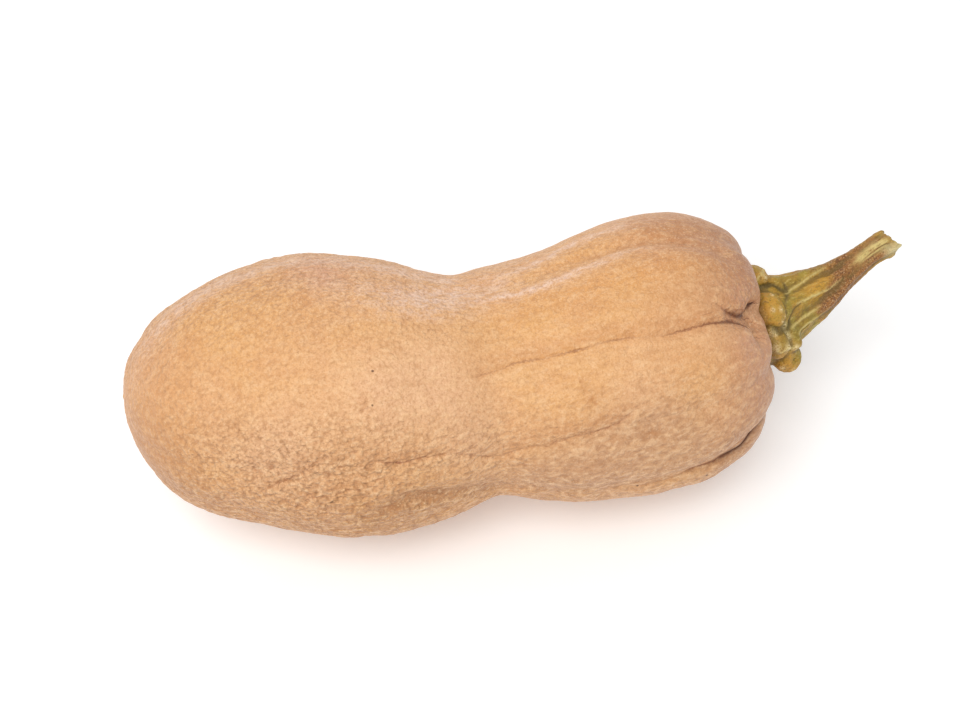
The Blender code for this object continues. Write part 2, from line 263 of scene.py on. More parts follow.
def surface_of(piece):
    """A search tree of a piece's surface, in metres."""
    return BVHTree.FromPolygons(
        [v.co for v in piece.data.vertices], [p.vertices for p in piece.data.polygons]
    )


def seen_spot(surface, x, y):
    """The place in mm on a surface that the camera sees at a pixel, or None beside the surface."""
    hit = surface.ray_cast(EYE, line_of_sight(x, y))[0]
    return hit and np.array(hit) / MM


def seen_line(surface, pixels):
    """Rows of (x, y, z, value) along a smooth line of (pixel x, pixel y, value), on the surface."""
    rows = []
    for x, y, value in smooth_line(pixels, per_span=16):
        spot = seen_spot(surface, x, y)
        if spot is not None:
            rows.append((*spot, value))
    return np.array(rows)


def beside_line(places, normals, line, reach):
    """Each vertex's distance to a line, signed by the side it lies on, and the line's value there."""
    far = 1e3
    batch = 4000
    near = np.full(len(places), far)
    value = np.zeros(len(places))
    low, high = line[:, :3].min(0) - reach, line[:, :3].max(0) + reach
    close = np.flatnonzero(((places > low) & (places < high)).all(1))
    ahead = np.gradient(line[:, :3], axis=0)
    ahead /= np.linalg.norm(ahead, axis=1)[:, None] + 1e-9
    spacing = 2 * np.median(np.linalg.norm(np.diff(line[:, :3], axis=0), axis=1))
    for part in np.array_split(close, max(1, len(close) // batch)):
        apart = places[part, None] - line[None, :, :3]
        nearest = (apart**2).sum(2).argmin(1)
        apart = apart[np.arange(len(part)), nearest]
        forward = (apart * ahead[nearest]).sum(1)
        across = np.linalg.norm(apart - forward[:, None] * ahead[nearest], axis=1)
        beyond = np.maximum(0, abs(forward) - spacing)
        side = (apart * np.cross(normals[part], ahead[nearest])).sum(1)
        near[part] = np.hypot(across, beyond) * np.where(side < 0, -1, 1)
        value[part] = line[nearest, 3]
    return near, value


def ramp(values, start, end):
    """0 before start, 1 after end, smooth between them."""
    share = np.clip((values - start) / (end - start), 0, 1)
    return share * share * (3 - 2 * share)


def rough(places, size, shift=0.0):
    """Smooth noise from -1 to 1 at each place, with features of a size."""
    return np.array([noise.noise(p) for p in places / size + shift])


def drawn_out(places, direction, ratio):
    """Places squeezed along a direction, so that a pattern on them is drawn out along it."""
    return places - np.outer(places @ direction, direction) * (1 - 1 / ratio)


def spot_share(surface, places, spots):
    """How much soft round spots of (pixel x, pixel y, size, strength) cover each vertex."""
    share = np.zeros(len(places))
    for x, y, size, strength in spots:
        spot = seen_spot(surface, x, y)
        share += strength * np.exp(-((places - spot) ** 2).sum(1) / size**2)
    return np.clip(share, 0, 1)


def hollowness(piece, rounds):
    """How far each vertex lies below what is round it."""
    places = places_of(piece)
    ends = np.empty(len(piece.data.edges) * 2, np.int32)
    piece.data.edges.foreach_get("vertices", ends)
    first, second = ends.reshape(-1, 2).T
    joined = np.bincount(ends, minlength=len(places))[:, None]
    level = places
    for _ in range(rounds):
        total = [
            np.bincount(first, value[second], len(places)) + np.bincount(second, value[first], len(places))
            for value in level.T
        ]
        level = np.transpose(total) / joined
    return ((level - places) * normals_of(piece)).sum(1)


skin = copy_of_node("fruit", "fruit_skin")
finish_with(skin, "SUBSURF", levels=2, render_levels=2)
bare = surface_of(skin)
crease_lines = [seen_line(bare, pixels) for pixels in CREASES.values()]

# The faces nearer to a crease than each margin are cut in four.
CREASED_MARGINS = (1.8, 0.8)

bpy.context.tool_settings.mesh_select_mode = (False, False, True)
for margin in CREASED_MARGINS:
    places, normals = places_of(skin), normals_of(skin)
    nearest = np.min([abs(beside_line(places, normals, line, margin)[0]) for line in crease_lines], 0)
    creased = [bool((nearest[list(p.vertices)] < margin).any()) for p in skin.data.polygons]
    select_only(skin)
    bpy.ops.object.mode_set(mode="EDIT")
    bpy.ops.mesh.select_all(action="DESELECT")
    bpy.ops.object.mode_set(mode="OBJECT")
    skin.data.polygons.foreach_set("select", creased)
    bpy.ops.object.mode_set(mode="EDIT")
    bpy.ops.mesh.subdivide(number_cuts=1)
    bpy.ops.object.mode_set(mode="OBJECT")

# Where the bulb's crumpled skin gives way to the smoother shoulder, how far along the fruit the waist and
# the shoulder's far creases lie, and the direction in which the skin's folds are drawn out.
BULB_FADE = (70, 190)
WAIST_ALONG = 134
SHOULDER_ALONG = 240
FAR_CREASE_FADE = (120, 250)
SLANT = np.array((0.944, 0.27, 0.19))

places, normals = places_of(skin), normals_of(skin)
along = places[:, 0] - places[:, 0].min()
bulb = 1 - ramp(along, *BULB_FADE)
near_side = ramp(-normals[:, 1], 0.45, 1.0)
upper_side = ramp(normals[:, 1], -0.4, 0.4)
crumple = 0.08 + (0.14 + 0.25 * upper_side) * bulb + (0.14 + 0.34 * bulb) * near_side
crumple = np.clip(crumple + spot_share(bare, places, PATCHES["crumple"]), 0, 1)

# The middle of the fruit at each place along it, and each vertex's angle round that middle.
SLICE_STEP = 4.0
SLICE_HALF = 3.0

slices = np.arange(SLICE_STEP, along.max() - SLICE_STEP, SLICE_STEP)
middles = np.array([
    (near.min(0) + near.max(0)) / 2 for near in (places[abs(along - cut) < SLICE_HALF] for cut in slices)
])
across, rise = (places[:, axis] - np.interp(along, slices, middles[:, axis]) for axis in (1, 2))
angle = np.degrees(np.arctan2(across, rise)) % 360
girth = np.hypot(across, rise)

# How far from its line a crease is followed, the distance that is kept where there is none, and the depth
# from which a crease gets no wider.
CREASE_REACH = 14.0
FAR_OFF = 9.0
DEEP = 2.2

creases = [beside_line(places, normals, line, CREASE_REACH) for line in crease_lines]
# Painted shade on each crease's far wall and painted light on its near wall, kept for the material.
crease_far_painted_shade = np.zeros(len(places))
crease_near_painted_light = np.zeros(len(places))
for side, depth in creases:
    crease_far_painted_shade = np.maximum(crease_far_painted_shade, ramp(depth, 0.1, 1.2) * np.exp(-(((side - 2.6) / 2.8) ** 2)))
    crease_near_painted_light = np.maximum(crease_near_painted_light, ramp(depth, 0.1, 1.2) * np.exp(-(((side + 3.4) / 2.6) ** 2)))
for at_waist, at_stem, depth in FAR_CREASES:
    turn = np.interp(along, (WAIST_ALONG, SHOULDER_ALONG), (at_waist, at_stem))
    side = np.radians((angle - turn + 180) % 360 - 180) * girth
    creases.append((side, depth * ramp(along, *FAR_CREASE_FADE) ** 1.5))

# Each crease is a valley that widens with its depth, with a sharp line at the bottom, a wide soft hollow
# round it and a low swell along either side. It wanders a little, and its depth is uneven.
wobble = 0.3 * rough(places, 2.6) + 0.25 * rough(places, 7.0)
uneven = 0.85 + 0.45 * rough(places, 8.0, 4.4)
crease_side = np.full(len(places), FAR_OFF)
crease_depth = np.zeros(len(places))
relief = np.zeros(len(places))
for side, depth in creases:
    side = side + wobble
    depth = depth * uneven
    width = 1.0 + 0.75 * np.minimum(depth, DEEP)
    relief -= 0.5 * depth * np.exp(-((side / width) ** 2))
    relief -= 0.3 * np.minimum(depth, 1.2) * np.exp(-((side / 0.45) ** 2))
    relief -= 0.35 * np.minimum(depth, 1.6) * np.exp(-((side / 5.0) ** 2))
    relief += 0.12 * np.minimum(depth, DEEP) * np.exp(-(((abs(side) - 1.9 * width) / width) ** 2))
    nearer = abs(side) < abs(crease_side)
    crease_side[nearer] = side[nearer]
    crease_depth[nearer] = depth[nearer]
for width, pixels in HOLLOWS:
    side, depth = beside_line(places, normals, seen_line(bare, pixels), CREASE_REACH)
    relief -= depth * np.exp(-((side / width) ** 2))

# Folds of the dried skin, its uneven pebbling, the dents and the unevenness of the whole.
FOLD_SIZE = 4.4
PEBBLING_SIZE = 2.3
LUMP_SIZE = 9.0

shaken = places + 1.2 * rough(places, 6.0)[:, None]
fold = abs(rough(drawn_out(shaken, SLANT, 2.8), FOLD_SIZE, 3.3))
relief -= np.exp(-((fold / 0.16) ** 2)) * crumple * (0.15 + 0.35 * bulb)
relief += (0.14 + 0.3 * crumple) * rough(drawn_out(places, SLANT, 1.3), PEBBLING_SIZE)
for x, y, size, depth in DENTS:
    relief -= depth * np.exp(-((places - seen_spot(bare, x, y)) ** 2).sum(1) / size**2)
relief += 0.32 * rough(places, LUMP_SIZE, 7.7)

# The scar of the blossom, at the end away from the stem.
SCAR_RADIUS = (2.6, 5.0)
SCAR_DEPTH = 0.5

blossom_end = places[along.argmin()]
scar = np.linalg.norm(places - blossom_end, axis=1) + 0.6 * rough(places, 1.7)
scar = 1 - ramp(scar, *SCAR_RADIUS)
relief -= SCAR_DEPTH * scar

unpressed = places.copy()
places += normals * relief[:, None]
places[:, 2] = np.maximum(places[:, 2], 0)
put_places(skin, places)
keep_attribute(skin, "near_side", near_side)
keep_attribute(skin, "upper_side", upper_side)
keep_attribute(skin, "underside", ramp(-normals[:, 2], -0.3, 0.5))
keep_attribute(skin, "crease_side", np.clip(crease_side, -FAR_OFF, FAR_OFF))
keep_attribute(skin, "crease_depth", crease_depth)
keep_attribute(skin, "crease_far_painted_shade", crease_far_painted_shade)
keep_attribute(skin, "crease_near_painted_light", crease_near_painted_light)
keep_attribute(skin, "crumple_share", crumple)
keep_attribute(skin, "hollow", hollowness(skin, rounds=2))
keep_attribute(skin, "along", along)
keep_attribute(skin, "scar", scar)
keep_attribute(skin, "slanted", drawn_out(places, SLANT, 1.7) * MM)
for hue, spots in PATCHES.items():
    if hue != "crumple":
        keep_attribute(skin, hue, spot_share(bare, unpressed, spots))
for hue, lines in BANDS.items():
    share = np.zeros(len(places))
    for width, pixels in lines:
        side, strength = beside_line(unpressed, normals, seen_line(bare, pixels), 12.0)
        share = np.maximum(share, strength * np.exp(-((side / width) ** 2)))
    keep_attribute(skin, hue, share)
select_only(skin)
bpy.ops.object.shade_smooth()

# Colours are given as a screen shows them on the lit squash, where the light makes them this much brighter.
LIT = 1.12


def seen_colour(red, green, blue):
    """The share of light that a surface sends back where a screen shows it so, 0 to 255, well lit."""
    return tuple(((v / 255 + 0.055) / 1.055) ** 2.4 / LIT for v in (red, green, blue)) + (1.0,)


class Signal:
    """An output of a node. Arithmetic on it adds Math nodes to its material."""

    def __init__(self, finish, socket):
        self.finish = finish
        self.socket = socket

    def math(self, operation, *values):
        sockets = dict(zip(("Value", "Value_001", "Value_002"), values))
        return self.finish.node("ShaderNodeMath", {"operation": operation}, sockets)

    def __add__(self, other):
        return self.math("ADD", self, other)

    def __sub__(self, other):
        return self.math("SUBTRACT", self, other)

    def __rsub__(self, other):
        return self.math("SUBTRACT", other, self)

    def __mul__(self, other):
        return self.math("MULTIPLY", self, other)

    def __truediv__(self, other):
        return self.math("DIVIDE", self, other)

    def __abs__(self):
        return self.math("ABSOLUTE", self)

    __radd__ = __add__
    __rmul__ = __mul__


class Finish:
    """A material, its nodes and the ways in which they are joined."""

    def __init__(self, name):
        self.material = bpy.data.materials.new(name)
        self.material.use_nodes = True
        self.tree = self.material.node_tree
        self.tree.nodes.clear()

    def node(self, kind, settings, sockets, output=0):
        """Adds a node, sets it up, fills its sockets with values or links, and gives one of its outputs."""
        made = self.tree.nodes.new(kind)
        for name, value in settings.items():
            setattr(made, name, value)
        found = {socket.identifier: socket for socket in made.inputs}
        for name, value in sockets.items():
            if isinstance(value, Signal):
                self.tree.links.new(value.socket, found[name])
            else:
                found[name].default_value = value
        named = {socket.identifier: socket for socket in made.outputs}
        return Signal(self, made.outputs[output] if isinstance(output, int) else named[output])

    def place(self):
        """The place on the object, in metres."""
        return self.node("ShaderNodeTexCoord", {}, {}, "Object")

    def attribute(self, name, output="Fac"):
        """A value or a place kept on the mesh."""
        return self.node("ShaderNodeAttribute", {"attribute_name": name}, {}, output)

    def mix(self, share, first, second):
        """One colour turning into another."""
        sockets = {"Factor_Float": share, "A_Color": first, "B_Color": second}
        return self.node("ShaderNodeMix", {"data_type": "RGBA"}, sockets, "Result_Color")

    def smooth(self, value, start, end):
        """0 at start and 1 at end, smooth between them."""
        sockets = {"Value": value, "From Min": start, "From Max": end}
        return self.node("ShaderNodeMapRange", {"interpolation_type": "SMOOTHSTEP"}, sockets, "Result")

    def stretched(self, place, x, y, z):
        """A place with its axes scaled, so that a pattern on it is stretched."""
        sockets = {"Vector": place, "Vector_001": (x, y, z)}
        return self.node("ShaderNodeVectorMath", {"operation": "MULTIPLY"}, sockets, "Vector")

    def swirled(self, place, size, reach):
        """A place shifted by noise of a size in mm, by up to about half a reach in mm each way."""
        sockets = {"Vector": place, "Scale": 1 / (size * MM), "Detail": 1.0}
        swirl = self.node("ShaderNodeTexNoise", {}, sockets, "Color")
        sockets = {"Vector": swirl, "Vector_001": (reach * MM,) * 3, "Vector_002": place}
        return self.node("ShaderNodeVectorMath", {"operation": "MULTIPLY_ADD"}, sockets, "Vector")

    def distance(self, place, spot):
        """The distance in mm from a spot given in mm."""
        sockets = {"Vector": place, "Vector_001": tuple(v * MM for v in spot)}
        return self.node("ShaderNodeVectorMath", {"operation": "DISTANCE"}, sockets, "Value") / MM

    def noise(self, place, size, detail=2.0, roughness=0.5):
        """Cloudy noise from 0 to 1 with features of a size in mm."""
        sockets = {"Vector": place, "Scale": 1 / (size * MM), "Detail": detail, "Roughness": roughness}
        return self.node("ShaderNodeTexNoise", {}, sockets, "Fac")

    def cells(self, place, size):
        """Distance to the nearest of scattered points, a size in mm apart."""
        sockets = {"Vector": place, "Scale": 1 / (size * MM)}
        return self.node("ShaderNodeTexVoronoi", {}, sockets, "Distance")

    def bump(self, height):
        """Normals of a surface that is raised by a height in mm."""
        sockets = {"Height": height, "Distance": MM, "Strength": 1.0}
        return self.node("ShaderNodeBump", {}, sockets, "Normal")

    def shaded(self, sockets):
        """The finished surface."""
        surface = self.node("ShaderNodeBsdfPrincipled", {}, sockets, "BSDF")
        shown = self.tree.nodes.new("ShaderNodeOutputMaterial")
        self.tree.links.new(surface.socket, shown.inputs["Surface"])
        return self.material


# The peel's patterns: round pebbles, soft blobs, fine grain, folds and streaks along the fruit, in mm.
peel = Finish("fruit_skin")
place = peel.place()
along_peel = peel.attribute("along")
crumpled = peel.attribute("crumple_share")
hollow = peel.attribute("hollow")
groove = peel.attribute("crease_depth")
swirled = peel.swirled(place, 4.0, 1.2)
pebble = peel.cells(swirled, 1.5)
blob = peel.noise(swirled, 1.0, 1.0)
fine = peel.noise(place, 0.55, 1.0)
slanted = peel.swirled(peel.attribute("slanted", "Vector"), 5.0, 2.5)
wrinkle = peel.smooth(abs(peel.noise(slanted, 2.6, 1.5) - 0.5), 0.1, 0.0)
streak = peel.noise(peel.stretched(swirled, 0.2, 1.0, 1.0), 2.8, 2.5)
dapple = peel.noise(peel.stretched(swirled, 0.6, 1.0, 1.0), 2.6, 1.0)
grit = peel.noise(slanted, 1.8, 1.5)

# Its cloudy ground, the patches and bands of another hue, of painted shade and of painted light, and
# painted shade at both ends and below.
SHOULDER_SHADE = (200.0, 244.0)
BULB_SHADE = (40.0, 0.0)

clouds = peel.noise(place, 30.0, 2.0)
flecks = peel.noise(peel.stretched(place, 0.55, 1.0, 1.0), 9.0, 3.0)
colour = peel.mix(peel.smooth(clouds, 0.35, 0.65), seen_colour(237, 178, 122), seen_colour(240, 181, 116))
colour = peel.mix(peel.smooth(flecks, 0.42, 0.7) * 0.45, colour, seen_colour(230, 164, 102))
for hue, tint, share in (
    ("mauve", (222, 166, 142), 0.75),
    ("ochre", (240, 184, 112), 0.6),
    ("reddish_painted_shade", (194, 128, 84), 0.7),
    ("brown", (190, 134, 84), 0.6),
    ("rosy", (244, 194, 150), 0.8),
    ("dusky", (200, 154, 118), 0.75),
    ("shaded", (164, 112, 72), 0.65),
):
    colour = peel.mix(peel.attribute(hue) * share, colour, seen_colour(*tint))
colour = peel.mix(peel.smooth(along_peel, *SHOULDER_SHADE) * 0.75, colour, seen_colour(190, 139, 115))
colour = peel.mix(peel.smooth(along_peel, *BULB_SHADE) * 0.4, colour, seen_colour(224, 162, 116))
colour = peel.mix(peel.attribute("underside") * 0.4, colour, seen_colour(192, 138, 84))
colour = peel.mix(peel.attribute("golden") * 0.55, colour, seen_colour(238, 170, 98))
# Painted shade on the creases' far walls and painted light on their near walls.
colour = peel.mix(peel.attribute("crease_far_painted_shade") * 0.4, colour, seen_colour(208, 140, 86))
colour = peel.mix(peel.attribute("crease_near_painted_light") * 0.18, colour, seen_colour(250, 202, 148))

# Streaks, pebbles and grit: each is paler on top and darker beside it, and stronger on the crumpled skin.
above = peel.attribute("upper_side")
low = peel.attribute("underside")
near = peel.attribute("near_side")
colour = peel.mix(peel.smooth(streak, 0.52, 0.72) * 0.3, colour, seen_colour(212, 152, 98))
colour = peel.mix(peel.smooth(streak, 0.45, 0.3) * 0.3, colour, seen_colour(248, 198, 144))
colour = peel.mix(peel.smooth(dapple, 0.5, 0.68) * 0.35, colour, seen_colour(250, 202, 150))
# Pebbles, gaps, pits: own mottling plus painted light and shade of their relief, most on upper side and
# underside.
gap = peel.smooth(pebble, 0.42, 0.8)
tone = crumpled * 0.42 + above * 0.26 + low * 0.6 + 0.1
colour = peel.mix(gap * tone, colour, seen_colour(200, 142, 94))
tone = crumpled * 0.42 + above * 0.44 + low * 0.55 + 0.1
colour = peel.mix(peel.smooth(pebble, 0.34, 0.08) * tone, colour, seen_colour(254, 212, 166))
pit = peel.smooth(blob, 0.47, 0.3) * (crumpled * 0.3 + low * 0.3 + 0.26)
colour = peel.mix(pit, colour, seen_colour(204, 146, 96))
# Painted highlight: the pinkish-white glints, broken up by blobs and dapples.
glint = peel.attribute("glint") * (peel.smooth(blob, 0.3, 0.6) * 0.6 + 0.3)
glint = glint * (peel.smooth(dapple, 0.35, 0.6) * 0.6 + 0.4)
colour = peel.mix(glint, colour, seen_colour(255, 220, 198))
# Grit and fine grain: own mottling plus painted light and shade of their relief, most on the near side and
# underside.
tone = near * 0.32 + low * 0.25 + above * 0.1 + 0.12
colour = peel.mix(peel.smooth(grit, 0.48, 0.34) * tone, colour, seen_colour(176, 122, 80))
colour = peel.mix(peel.smooth(grit, 0.53, 0.68) * tone, colour, seen_colour(250, 208, 162))
tone = low * 0.35 + above * 0.15 + 0.22
colour = peel.mix(peel.smooth(fine, 0.48, 0.3) * tone, colour, seen_colour(190, 130, 86))
colour = peel.mix(peel.smooth(fine, 0.54, 0.72) * tone, colour, seen_colour(255, 222, 182))
# Painted shade in the fold lines and in the hollows.
colour = peel.mix(wrinkle * crumpled * 0.3, colour, seen_colour(190, 130, 84))
colour = peel.mix(peel.smooth(hollow, 0.05, 0.35) * 0.55, colour, seen_colour(186, 124, 80))

# Painted shade along the creases' lines, wider where they are deeper, and in the slit beside the stem;
# stains, scar and specks.
crease_away = abs(peel.attribute("crease_side") + (blob - 0.5) * 1.6)
line_share = peel.smooth(crease_away / (groove * 0.3 + 0.45), 1.0, 0.0)
line_share = line_share * peel.smooth(groove, 0.1, 1.3)
colour = peel.mix(line_share * 0.85, colour, seen_colour(158, 98, 64))
deep_share = peel.smooth(crease_away / (groove * 0.4), 1.0, 0.1)
colour = peel.mix(deep_share * peel.smooth(groove, 1.8, 3.6) * 0.8, colour, seen_colour(108, 62, 40))
colour = peel.mix(peel.attribute("slit_painted_shade") * 0.85, colour, seen_colour(84, 46, 26))
stain = peel.attribute("stain") * peel.smooth(peel.noise(swirled, 2.2, 3.0), 0.38, 0.58)
colour = peel.mix(stain * 0.7, colour, seen_colour(190, 124, 70))
colour = peel.mix(peel.attribute("scar") * 0.8, colour, seen_colour(150, 108, 70))
for x, y, size in SPECKS:
    speck = peel.smooth(peel.distance(swirled, seen_spot(bare, x, y) + 1.2), size * 1.3, size * 0.6)
    colour = peel.mix(speck * 0.85, colour, seen_colour(92, 56, 34))

# The relief that is too fine for the mesh.
height = (1 - pebble * pebble) * (crumpled * 0.65 + 0.18) + blob * (crumpled * 0.25 + 0.22) + fine * 0.16
height = height - wrinkle * crumpled * 0.06 - streak * 0.3 + dapple * 0.3 + grit * (near * 0.25 + 0.1)
skin.data.materials.append(peel.shaded({
    "Base Color": colour,
    "Roughness": blob * 0.2 + 0.36,
    "Specular IOR Level": 0.32,
    "Sheen Weight": 0.04,
    "Normal": peel.bump(height),
}))

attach(skin, "root")
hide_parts("fruit")

# The stem: the woody stalk as cut from the vine, ridged along its length, on a foot of knobs and warts.
# It is green to ochre wood that dried brown in patches, with a pale, frayed end where the knife went.
# Places along it are in mm from its foot.
STEM_VOXEL = 0.42 * MM
CLEFT_FILL = 1.3 * MM
STEM_END = 62.5
FOOT_SINK = 3.0
FOOT_TOP = 15.0
# The middle line from foot to cut.
STEM_LINE = (
    (87.3, 8.4, 56.8),
    (99.1, 9.9, 59.1),
    (113.4, 13.4, 63.1),
    (127.0, 18.3, 68.0),
    (140.3, 24.0, 73.4),
    (147.3, 26.2, 75.7),
)
# The direction from which the turn round the stem is measured, and the turn at which the cut is longest.
STEM_LEVEL = np.array((0.01, -0.57, 0.82))
FLAKE_TURN = math.radians(-40)
FLAKE_LENGTH = 2.7
# Raised, pale ridges and furrows between them, darkened with painted shade: pixel x, pixel y, height or
# depth in mm.
STEM_RIDGES = (
    ((788, 292, 0.3), (800, 284, 0.5), (811, 276, 0.4), (824, 268, 0.15)),
    ((799, 303, 0.3), (812, 296, 0.5), (828, 289, 0.4), (840, 280, 0.15)),
    ((793, 327, 0.3), (801, 319, 0.45), (811, 313, 0.35), (822, 305, 0.1)),
    ((800, 333, 0.3), (808, 325, 0.45), (818, 319, 0.3), (828, 310, 0.1)),
    ((852, 265, 0.1), (862, 256, 0.4), (874, 248, 0.45), (884, 242, 0.3)),
    ((755, 283, 0.3), (759, 277, 0.4), (764, 270, 0.3)),
    ((772, 349, 0.3), (780, 352, 0.4), (788, 348, 0.4), (796, 344, 0.2)),
)
STEM_FURROWS = (
    ((803, 302, 0.2), (796, 309, 0.6), (791, 318, 0.8), (789, 327, 0.4)),
    ((783, 281, 0.3), (787, 291, 0.6), (786, 301, 0.4)),
    ((757, 291, 0.5), (764, 286, 0.8), (774, 285, 0.8), (783, 290, 0.5)),
    ((763, 328, 0.6), (771, 327, 0.6), (780, 331, 0.4)),
)
# Swells and dents of the foot's outline: pixel x, pixel y, size and height in mm.
SWELLS = (
    (797, 342, 2.8, 2.0), (799, 361, 3.4, -2.6), (793, 350, 2.5, 0.6), (805, 332, 4.0, -1.4),
    (820, 318, 4.5, -1.1),
)
# Patches of another hue: pixel x, pixel y, size in mm and strength.
STEM_PATCHES = {
    "golden": ((812, 291, 5.5, 1.0), (823, 283, 5.0, 1.0), (832, 278, 3.0, 0.8), (766, 275, 4.0, 0.7),
               (789, 362, 4.0, 0.8), (770, 305, 5.0, 0.7)),
    "green": ((790, 284, 4.0, 0.8), (815, 318, 4.0, 0.9), (797, 333, 4.5, 0.8), (786, 342, 4.0, 0.8),
              (806, 300, 2.5, 0.3)),
    "brown": ((836, 292, 5.5, 1.0), (846, 277, 5.0, 1.0), (829, 306, 4.0, 0.9), (860, 268, 4.0, 0.9),
              (872, 242, 3.0, 0.9), (884, 252, 3.5, 0.9), (873, 260, 3.5, 0.9), (858, 250, 3.0, 0.8),
              (846, 261, 3.0, 0.8)),
    "pale": ((861, 258, 2.0, 0.8), (868, 253, 2.2, 1.0), (875, 248, 2.2, 1.0), (882, 243, 2.0, 0.9)),
}
# Warts of the foot: pixel x, pixel y and size in mm. FAR_WARTS more are scattered over the whole foot.
WARTS = (
    (769, 333, 1.7), (775, 335, 1.0), (787, 336, 1.6), (773, 310, 0.8), (781, 309, 0.9),
    (785, 316, 0.8), (785, 325, 1.2), (776, 348, 1.6), (788, 347, 1.4), (793, 346, 1.0),
)
FAR_WARTS = 16
WART_SEED = 11
RIDGE_REACH = 6.0

# Filled out, joined and shrunk again, the copy keeps its shape but loses its narrowest clefts.
wood = copy_of_node("stem", "stem_wood")
finish_with(wood, "REMESH", mode="VOXEL", voxel_size=STEM_VOXEL)
finish_with(wood, "DISPLACE", strength=CLEFT_FILL, mid_level=0.0)
finish_with(wood, "REMESH", mode="VOXEL", voxel_size=STEM_VOXEL)
finish_with(wood, "DISPLACE", strength=-CLEFT_FILL, mid_level=0.0)
finish_with(wood, "SMOOTH", factor=0.5, iterations=5)
places, normals = places_of(wood), normals_of(wood)
bare_stem = surface_of(wood)

# Where each vertex lies on the stem: how far along its middle line, how far out, and the turn round it.
# The search for the nearest place on the line goes in batches, to spare memory.
BATCHES = 20

middle = smooth_line(STEM_LINE, per_span=24)
ahead = np.gradient(middle, axis=0)
ahead /= np.linalg.norm(ahead, axis=1)[:, None]
steps = np.linalg.norm(np.diff(middle, axis=0), axis=1)
reached = np.concatenate([[0], np.cumsum(steps)])
nearest = np.concatenate([
    ((part[:, None] - middle[None]) ** 2).sum(2).argmin(1) for part in np.array_split(places, BATCHES)
])
out = places - middle[nearest]
ahead = ahead[nearest]
forward = (out * ahead).sum(1)
reach = reached[nearest] + forward
out -= forward[:, None] * ahead
level = STEM_LEVEL - (ahead @ STEM_LEVEL)[:, None] * ahead
rising = np.cross(level, ahead)
turn = np.arctan2((out * rising).sum(1), (out * level).sum(1))
radius = np.linalg.norm(out, axis=1)

# Ridges, furrows, warts and swells, where the photo shows them.
relief = np.zeros(len(places))
cream = np.zeros(len(places))
furrow_painted_shade = np.zeros(len(places))
wobble = 0.35 * rough(places, 2.2)
for pixels in STEM_RIDGES:
    side, raised = beside_line(places, normals, seen_line(bare_stem, pixels), RIDGE_REACH)
    relief += raised * np.exp(-(((side + wobble) / 0.7) ** 2))
    cream = np.maximum(cream, ramp(raised, 0, 0.4) * np.exp(-(((side + wobble) / 0.55) ** 2)))
for pixels in STEM_FURROWS:
    side, depth = beside_line(places, normals, seen_line(bare_stem, pixels), RIDGE_REACH)
    relief -= depth * np.exp(-(((side + wobble) / 1.0) ** 2))
    furrow_painted_shade = np.maximum(furrow_painted_shade, ramp(depth, 0, 0.7) * np.exp(-(((side + wobble) / 0.9) ** 2)))

draw = random.Random(WART_SEED)
warts = [(seen_spot(bare_stem, x, y), size) for x, y, size in WARTS]
foot = places[(reach > 4) & (reach < FOOT_TOP)]
warts += [(foot[draw.randrange(len(foot))], draw.uniform(0.6, 1.3)) for _ in range(FAR_WARTS)]
wart = np.zeros(len(places))
for spot, size in warts:
    apart = np.linalg.norm(places - spot, axis=1) / size
    relief += 0.4 * size * np.exp(-(apart**2))
    wart = np.maximum(wart, np.exp(-(apart**2) / 1.2))

for x, y, size, raised in SWELLS:
    relief += raised * np.exp(-((places - seen_spot(bare_stem, x, y)) ** 2).sum(1) / size**2)
for hue, spots in STEM_PATCHES.items():
    keep_attribute(wood, hue, spot_share(bare_stem, places, spots))

# Grain along the stalk, the frayed cut with a longer flake at one side, and the foot sunk into the fruit.
straight = np.stack([reach, radius * np.cos(turn), radius * np.sin(turn)], 1)
stalk = ramp(reach, 12, 24)
relief += (
    0.28 * stalk * rough(straight * (0.12, 1, 1), 2.2)
    + 0.16 * rough(places, 1.3)
    + 0.25 * rough(places, 4.5)
)
tip = ramp(reach, STEM_END - 3.0, STEM_END - 0.5)
places += normals * relief[:, None]
fray = 0.7 * rough(straight * (0.1, 1, 1), 1.1) + 0.5 * rough(straight * (0.1, 1, 1), 3.0, 5.0)
flake = np.exp(-(((turn - FLAKE_TURN) / 0.55) ** 2)) * ramp(radius, 2.4, 4.8)
places += ahead * (tip * (fray + FLAKE_LENGTH * flake) - FOOT_SINK * ramp(reach, 6, 1))[:, None]
put_places(wood, places)
keep_attribute(wood, "reach", reach)
keep_attribute(wood, "cream", cream)
keep_attribute(wood, "furrow_painted_shade", furrow_painted_shade)
keep_attribute(wood, "wart", wart)
keep_attribute(wood, "hollow", hollowness(wood, rounds=14))
keep_attribute(wood, "straight", straight * MM)
keep_attribute(wood, "flake", flake * tip)
end_face = ramp((normals * ahead).sum(1), 0.45, 0.8) * ramp(reach, STEM_END - 3, STEM_END - 2)
keep_attribute(wood, "end_face", end_face)
select_only(wood)
bpy.ops.object.shade_smooth()

